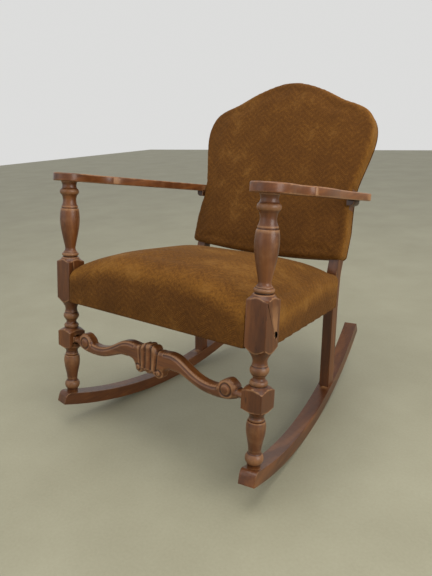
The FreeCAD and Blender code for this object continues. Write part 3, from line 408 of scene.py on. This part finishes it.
# posts, arms and the small blocks
showPieces = {
    "front_post": (woodAlongPost, 0.0012, "turnedPost"),
    "rear_post": (woodAlongPost, 0.0020, "sawnPost"),
    "arm": (woodAlongArmPaintedHighlight, 0.0, "armBoard"),
    "arm_bracket": (plugWoodAndBracketPaintedShade, 0.0010, "armBlock"),
}
for node, (material, arris, name) in showPieces.items():
    for side in ("left", "right"):
        bm = fromNode(f"{node}_{side}")
        if arris:
            tidyFlats(bm, 0.3)
            softenArris(bm, arris, 62 if node == "front_post" else 40)
        markWear(bm)
        piece = settle(bm, f"{name}_{side}", material, 50.0)
        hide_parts(f"{node}_{side}")
        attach(piece, "frame")
print("show wood shaped")


def closedPad(bm, name, voxel):
    # an even skin of small quads round a rough closed form
    bmesh.ops.recalc_face_normals(bm, faces=bm.faces[:])
    data = bpy.data.meshes.new(name)
    bm.to_mesh(data)
    bm.free()
    piece = bpy.data.objects.new(name, data)
    scene.collection.objects.link(piece)
    remesh = piece.modifiers.new("skin", "REMESH")
    remesh.mode = "VOXEL"
    remesh.voxel_size = voxel
    freeze(piece)
    return piece


def freeze(piece):
    # make the shown shape the mesh itself
    shown = piece.evaluated_get(bpy.context.evaluated_depsgraph_get())
    data = bpy.data.meshes.new_from_object(shown)
    piece.modifiers.clear()
    piece.data = data


# front stretcher: two serpentine wings, a lobed crest and an upright scroll at each post, all carved
stretcherShape = {
    "voxel": 0.0014, "half": 0.014, "soft": 0.0085, "bead": 0.0062, "beadDepth": 0.0016,
    "scroll": (0.2125, 0.1515), "scrollRing": 0.0128, "scrollProud": 0.0035, "cleft": 0.0245,
    "lobe": 0.0085, "curl": (0.0305, 0.1370), "curlRing": 0.0075,
}


def carve(away, width):
    return math.exp(-(away / width) ** 2)


def buildStretcher():
    s = stretcherShape
    bm = fromNode("front_stretcher")
    bmesh.ops.transform(bm, matrix=chairPlace.inverted(), verts=bm.verts[:])
    bm.normal_update()
    rim = []
    for edge in bm.edges:
        if len(edge.link_faces) == 2 and edge.calc_face_angle(0) > 0.9:
            a, b = (v.co.copy() for v in edge.verts)
            steps = max(1, int((a - b).length / 0.0015))
            rim += [a.lerp(b, i / steps) for i in range(steps)]
    piece = closedPad(bm, "carvedStretcher", s["voxel"])
    tree = kdtree.KDTree(len(rim))
    for i, point in enumerate(rim):
        tree.insert((point.x, 0, point.z), i)
    tree.balance()
    for vert in piece.data.vertices:
        x, y, z = vert.co
        out = abs(x)
        if out > 0.2545:
            continue
        nearest, _, inside = tree.find((x, 0, z))
        side = max(-1.0, min(1.0, y / s["half"]))
        thin = roundOver(inside, s["soft"])
        ring = math.hypot(out - s["scroll"][0], z - s["scroll"][1])
        curl = math.hypot(out - s["curl"][0], z - s["curl"][1])
        cut = 0.0
        if 0.045 < out < 0.19 and nearest.z > z:
            cut += s["beadDepth"] * carve(inside - s["bead"], 0.0022)
        if out > 0.18:
            cut += 0.0024 * carve(ring - s["scrollRing"], 0.0024)
            cut -= s["scrollProud"] * carve(ring, 0.013)
        if z > 0.139 and out < 0.045:
            cut += 0.0050 * carve(out - s["cleft"] - (z - 0.165) * 0.10, 0.0030)
            cut += 0.0034 * carve(out - s["lobe"], 0.0028)
            cut -= 0.0030 * carve(out, 0.006) + 0.0026 * carve(out - 0.0165, 0.006)
        if z < 0.150 and out < 0.05:
            cut += 0.0022 * carve(curl - s["curlRing"], 0.0024)
        deep = max(0.0, s["half"] - thin - max(cut, -0.004))
        y = side * deep if cut >= 0 else side * (s["half"] - thin - cut)
        if z > 0.176 and out < 0.04:
            z -= 0.0030 * carve(out - s["lobe"], 0.0022) + 0.0035 * carve(out - s["cleft"], 0.0022)
        vert.co = (x, y, z)
    bm = bmesh.new()
    bm.from_mesh(piece.data)
    bpy.data.objects.remove(piece)
    bmesh.ops.smooth_vert(bm, verts=bm.verts[:], factor=0.5,
                          use_axis_x=True, use_axis_y=True, use_axis_z=True)
    bm.transform(chairPlace)
    markWear(bm, 0.012, 2)
    layer = bm.verts.layers.float["wear"]
    for vert in bm.verts:
        vert[layer] = max(-0.5, min(1.0, vert[layer] * 1.1))
    return settle(bm, "carvedStretcher", woodAcross, 80.0)


for node in frame["nodes"]:
    if "rail" in node or "corner_block" in node or "dowel" in node:
        dress(node, frameWood)
    if "webbing" in node:
        dress(node, strapCloth)
    if "burlap" in node:
        dress(node, jute)
    if "springs" in node:
        dress(node, springWire)
    if "screws" in node:
        dress(node, screwSteel)
dress("post_plugs", plugWoodAndBracketPaintedShade)
dress("seat_dust_cover", cambric)
dress("back_panel", outsideCloth)


def inflate(piece, held, puff):
    # let the stuffing press the cover outwards, held at its tacked edges and capped
    before = [v.co.copy() for v in piece.data.vertices]
    outward = [v.normal.copy() for v in piece.data.vertices]
    group = piece.vertex_groups.new(name="tacked")
    group.add([i for i, p in enumerate(before) if held(p)], 1.0, "REPLACE")
    cloth = piece.modifiers.new("stuffed", "CLOTH")
    cloth.settings.quality = 4
    cloth.settings.mass = 0.3
    cloth.settings.tension_stiffness = puff["stretch"]
    cloth.settings.compression_stiffness = puff["stretch"]
    cloth.settings.shear_stiffness = puff["stretch"] * 0.5
    cloth.settings.bending_stiffness = 1.5
    cloth.settings.vertex_group_mass = "tacked"
    cloth.settings.use_pressure = True
    cloth.settings.uniform_pressure_force = puff["pressure"]
    cloth.settings.effector_weights.gravity = 0
    for step in range(1, puff["steps"] + 1):
        scene.frame_set(step)
    shown = piece.evaluated_get(bpy.context.evaluated_depsgraph_get())
    after = [v.co.copy() for v in shown.data.vertices]
    piece.modifiers.clear()
    piece.vertex_groups.clear()
    for vert, old, new, way in zip(piece.data.vertices, before, after, outward):
        move = new - old
        move -= way * min(0.0, move.dot(way))  # the frame and stuffing behind let nothing sink in
        if move.length > puff["cap"]:
            move *= puff["cap"] / move.length
        vert.co = old + move * puff["share"]
    scene.frame_set(1)


carvedStretcher = buildStretcher()
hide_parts("front_stretcher")
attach(carvedStretcher, "frame")
print("stretcher carved", len(carvedStretcher.data.vertices))

# seat: one tight cover over the sprung crown, cut round the posts
seatShape = {
    "front": -0.0265, "rear": 0.4495, "base": 0.2478, "top": 0.388,
    "across": 0.640, "along": 0.860, "middle": 0.130,
    "postInner": 0.2560, "postBack": 0.0240, "stileFront": 0.4210, "stileInner": 0.2080,
    "spacing": 0.280, "narrowing": 0.1330, "proud": 0.0150,
    "roundFront": 0.046, "roundSide": 0.030, "roundRear": 0.022,
    "voxel": 0.0058, "hem": 0.012,
    "deck": 0.332,         # the cover never lies lower than the sacking inside its edges
}
seatPuff = {"pressure": 4.0, "stretch": 12.0, "steps": 20, "cap": 0.020, "share": 0.32}


def seatEdge(y):
    return seatShape["spacing"] - seatShape["narrowing"] * y + seatShape["proud"]


def crownHeight(x, y):
    # how high the seat stands at a point of its plan, before the edges are rounded
    s = seatShape
    across = s["across"] - math.sqrt(s["across"] ** 2 - x ** 2)
    along = s["along"] - math.sqrt(s["along"] ** 2 - (y - s["middle"]) ** 2)
    return s["top"] - (across ** 3 + along ** 3) ** (1 / 3)


def buildSeat():
    s = seatShape
    half = [(s["postInner"], s["front"]), (s["postInner"], s["postBack"]),
            (seatEdge(s["postBack"]), s["postBack"]), (seatEdge(s["stileFront"]), s["stileFront"]),
            (s["stileInner"], s["stileFront"]), (s["stileInner"], s["rear"])]
    plan = half + [(-x, y) for x, y in half[::-1]]
    bm = bmesh.new()
    ring = [bm.verts.new((x, y, s["base"])) for x, y in plan]
    floor = bm.faces.new(ring)
    lifted = bmesh.ops.extrude_face_region(bm, geom=[floor])
    tops = [g for g in lifted["geom"] if isinstance(g, bmesh.types.BMVert)]
    bmesh.ops.translate(bm, verts=tops, vec=(0, 0, s["top"] - s["base"]))
    piece = closedPad(bm, "seatCover", s["voxel"])
    tall = s["top"] - s["base"]
    for vert in piece.data.vertices:
        x, y, z = vert.co
        share = max(0.0, min(1.0, (z - s["base"]) / tall))
        side = (seatEdge(y) - abs(x)) * 0.99
        drop = (roundOver(y - s["front"], s["roundFront"]) + roundOver(side, s["roundSide"])
                + roundOver(s["rear"] - y, s["roundRear"]))
        crest = crownHeight(x, y) - min(drop, 0.075)
        shoulder = s["deck"] - roundOver(side, 0.014) - roundOver(y - s["front"], 0.030)
        crest = max(crest, shoulder - roundOver(s["rear"] - y, s["roundRear"]))
        vert.co.z = s["base"] + share * (crest - s["base"])
    return piece


seatCover = buildSeat()
print("seat skin", len(seatCover.data.vertices))
inflate(seatCover, lambda p: p.z < seatShape["base"] + seatShape["hem"], seatPuff)
print("seat stuffed")


def trimSeat(piece):
    # keep the cover out of the posts, turn the hem under and lay the cloth's own directions on it, with a
    # painted-highlight weight along the rounded top edge
    s = seatShape
    data = piece.data
    lie = data.attributes.new("cloth", "FLOAT_VECTOR", "POINT")
    for vert in data.vertices:
        x, y, z = vert.co
        out = abs(x)
        if y < s["postBack"] + 0.0012 and out > s["postInner"] - 0.0004:
            if out - s["postInner"] < s["postBack"] + 0.0012 - y:
                out = s["postInner"] - 0.0004
            else:
                y = s["postBack"] + 0.0012
        if y > s["stileFront"] - 0.0012 and out > s["stileInner"] - 0.0006:
            if out - s["stileInner"] < y - s["stileFront"] + 0.0012:
                out = s["stileInner"] - 0.0006
            else:
                y = s["stileFront"] - 0.0012
        inner = min(y - s["front"], seatEdge(y) - out, s["rear"] - y)
        if z < s["base"] + 0.004 and inner > 0.03:
            z = s["base"] + 0.006
        vert.co = (math.copysign(out, x), y, z)
    for index, vert in enumerate(data.vertices):
        x, y, z = vert.co
        n = vert.normal
        deep = max(0.0, crownHeight(x, y) - z)
        sideways = n.x ** 2 / max(n.x ** 2 + n.y ** 2, 1e-6)
        flat = max(0.0, n.z)
        u = x + math.copysign(deep * sideways * (1 - flat), x)
        v = y - deep * (1 - sideways) * (1 - flat)
        # rim: painted highlight weight on the rounded top edge of the seat
        rim = 1 - min(1.0, abs(deep - 0.02) / 0.03) if z > s["base"] + 0.02 else 0.0
        lie.data[index].vector = (u, v, rim)


trimSeat(seatCover)
seatCover.data.transform(chairPlace)

# back: camel-back pad from the outline of the outside-back panel
backShape = {
    "rear": 0.0146, "edge": 0.0300, "proud": 0.0150, "round": 0.0120,
    "voxel": 0.0056, "middle": 0.265, "swell": (0.018, 0.008),
}
backPuff = {"pressure": 4.0, "stretch": 12.0, "steps": 20, "cap": 0.016, "share": 0.28}
armGap = {"low": 0.166, "high": 0.216, "inner": 0.2284, "ease": 0.012}


def buildBack():
    s = backShape
    bm = fromNode("back_panel")
    bmesh.ops.transform(bm, matrix=backPlace.inverted(), verts=bm.verts[:])
    bm.normal_update()
    bmesh.ops.delete(bm, geom=[f for f in bm.faces if f.normal.y > -0.9], context="FACES")
    rim = []
    for edge in bm.edges:
        if edge.is_boundary:
            a, b = (v.co.copy() for v in edge.verts)
            steps = max(1, int((a - b).length / 0.002))
            rim += [a.lerp(b, i / steps) for i in range(steps)]
    for vert in bm.verts:
        vert.co.y = s["rear"]
    faces = bm.faces[:]
    lifted = bmesh.ops.extrude_face_region(bm, geom=faces, use_keep_orig=True)
    fronts = [g for g in lifted["geom"] if isinstance(g, bmesh.types.BMVert)]
    deep = s["rear"] + s["edge"] + s["proud"]
    bmesh.ops.translate(bm, verts=fronts, vec=(0, -deep, 0))
    piece = closedPad(bm, "backCover", s["voxel"])
    tree = kdtree.KDTree(len(rim))
    for i, point in enumerate(rim):
        tree.insert((point.x, 0, point.z), i)
    tree.balance()
    for vert in piece.data.vertices:
        x, y, z = vert.co
        share = max(0.0, min(1.0, (s["rear"] - y) / deep))
        inside = tree.find((x, 0, z))[2]
        bulge = s["proud"] * (1 - (x / 0.25) ** 2) * max(0.0, 1 - ((z - s["middle"]) / 0.27) ** 2) ** 0.8
        face = s["edge"] + max(bulge, 0.0) - roundOver(inside, s["round"])
        vert.co.x = x * (1 + s["swell"][0] * share)
        vert.co.z = z + (z - s["middle"]) * s["swell"][1] * share
        vert.co.y = s["rear"] - share * (s["rear"] + face)
    return piece


backCover = buildBack()
print("back skin", len(backCover.data.vertices))
inflate(backCover, lambda p: p.y > backShape["rear"] - 0.012, backPuff)


def trimBack(piece):
    data = piece.data
    lie = data.attributes.new("cloth", "FLOAT_VECTOR", "POINT")
    for vert in data.vertices:
        x, y, z = vert.co
        above = max(armGap["low"] - z, z - armGap["high"], 0.0)
        if above < armGap["ease"]:
            limit = armGap["inner"] + 0.012 * (above / armGap["ease"]) ** 2
            vert.co.x = math.copysign(min(abs(x), limit), x)
    for index, vert in enumerate(data.vertices):
        x, y, z = vert.co
        n = vert.normal
        deep = max(0.0, y + backShape["edge"])
        flank = 1 - abs(n.y)
        u = x + deep * n.x * flank
        v = z + deep * n.z * flank
        # third value: painted highlight weight on the side borders of the back
        lie.data[index].vector = (u, v, min(1.0, flank * 1.4))


trimBack(backCover)
backCover.data.transform(backPlace)
for cover, nodes in ((seatCover, ("seat_cover_top", "seat_cover_border", "seat_edge_roll", "seat_stuffing")),
                     (backCover, ("back_cover", "back_stuffing"))):
    cover.data.materials.clear()
    cover.data.materials.append(mohairCloth)
    for face in cover.data.polygons:
        face.use_smooth = True
    fine = cover.modifiers.new("fine", "SUBSURF")
    fine.levels = fine.render_levels = 1
    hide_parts(*nodes)
    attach(cover, "frame")
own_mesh(seatCover)
print("upholstery done")

# floor, backdrop and light
stage = {"shade": (0.250, 0.235, 0.158), "pale": (0.315, 0.300, 0.210), "wide": 9.0}


def groundMaterial():
    paint = Paint("paleFloor")
    plain = paint.place()
    cloud = paint.noise(plain, 3.0, 4.0, 0.6)
    speck = paint.noise(plain, 160.0, 2.0, 0.6)
    colour = paint.ramp(cloud * 0.7 + speck * 0.3, [(0.3, stage["shade"]), (0.7, stage["pale"])])
    return paint.surface(Base_Color=colour, Roughness=0.6)


bm = bmesh.new()
bmesh.ops.create_grid(bm, x_segments=1, y_segments=1, size=stage["wide"])
floorData = bpy.data.meshes.new("studioFloor")
bm.to_mesh(floorData)
bm.free()
studioFloor = bpy.data.objects.new("studioFloor", floorData)
scene.collection.objects.link(studioFloor)
floorData.materials.append(groundMaterial())

lamps = {
    "overhead": {"spot": (0.2, -0.4, 2.9), "aim": (0, 0, 0.4), "size": 2.4, "power": 46,
                 "tint": (1.0, 0.98, 0.95)},
    "doorway": {"spot": (3.0, -0.2, 1.5), "aim": (0, 0.1, 0.5), "size": 2.0, "power": 62,
                "tint": (1.0, 0.98, 0.94)},
    "frontFill": {"spot": (-1.4, -3.0, 1.6), "aim": (0, 0, 0.4), "size": 2.4, "power": 16,
                  "tint": (0.95, 0.97, 1.0)},
}
for name, lamp in lamps.items():
    light = bpy.data.lights.new(name, "AREA")
    light.energy = lamp["power"]
    light.size = lamp["size"]
    light.color = lamp["tint"]
    holder = bpy.data.objects.new(name, light)
    scene.collection.objects.link(holder)
    holder.location = lamp["spot"]
    aim = Vector(lamp["aim"]) - Vector(lamp["spot"])
    holder.rotation_euler = aim.to_track_quat("-Z", "Y").to_euler()
world = bpy.data.worlds.new("studioAir")
world.use_nodes = True
world.node_tree.nodes["Background"].inputs[0].default_value = (0.90, 0.90, 0.89, 1)
world.node_tree.nodes["Background"].inputs[1].default_value = 0.80
scene.world = world
scene.view_settings.view_transform = "Standard"
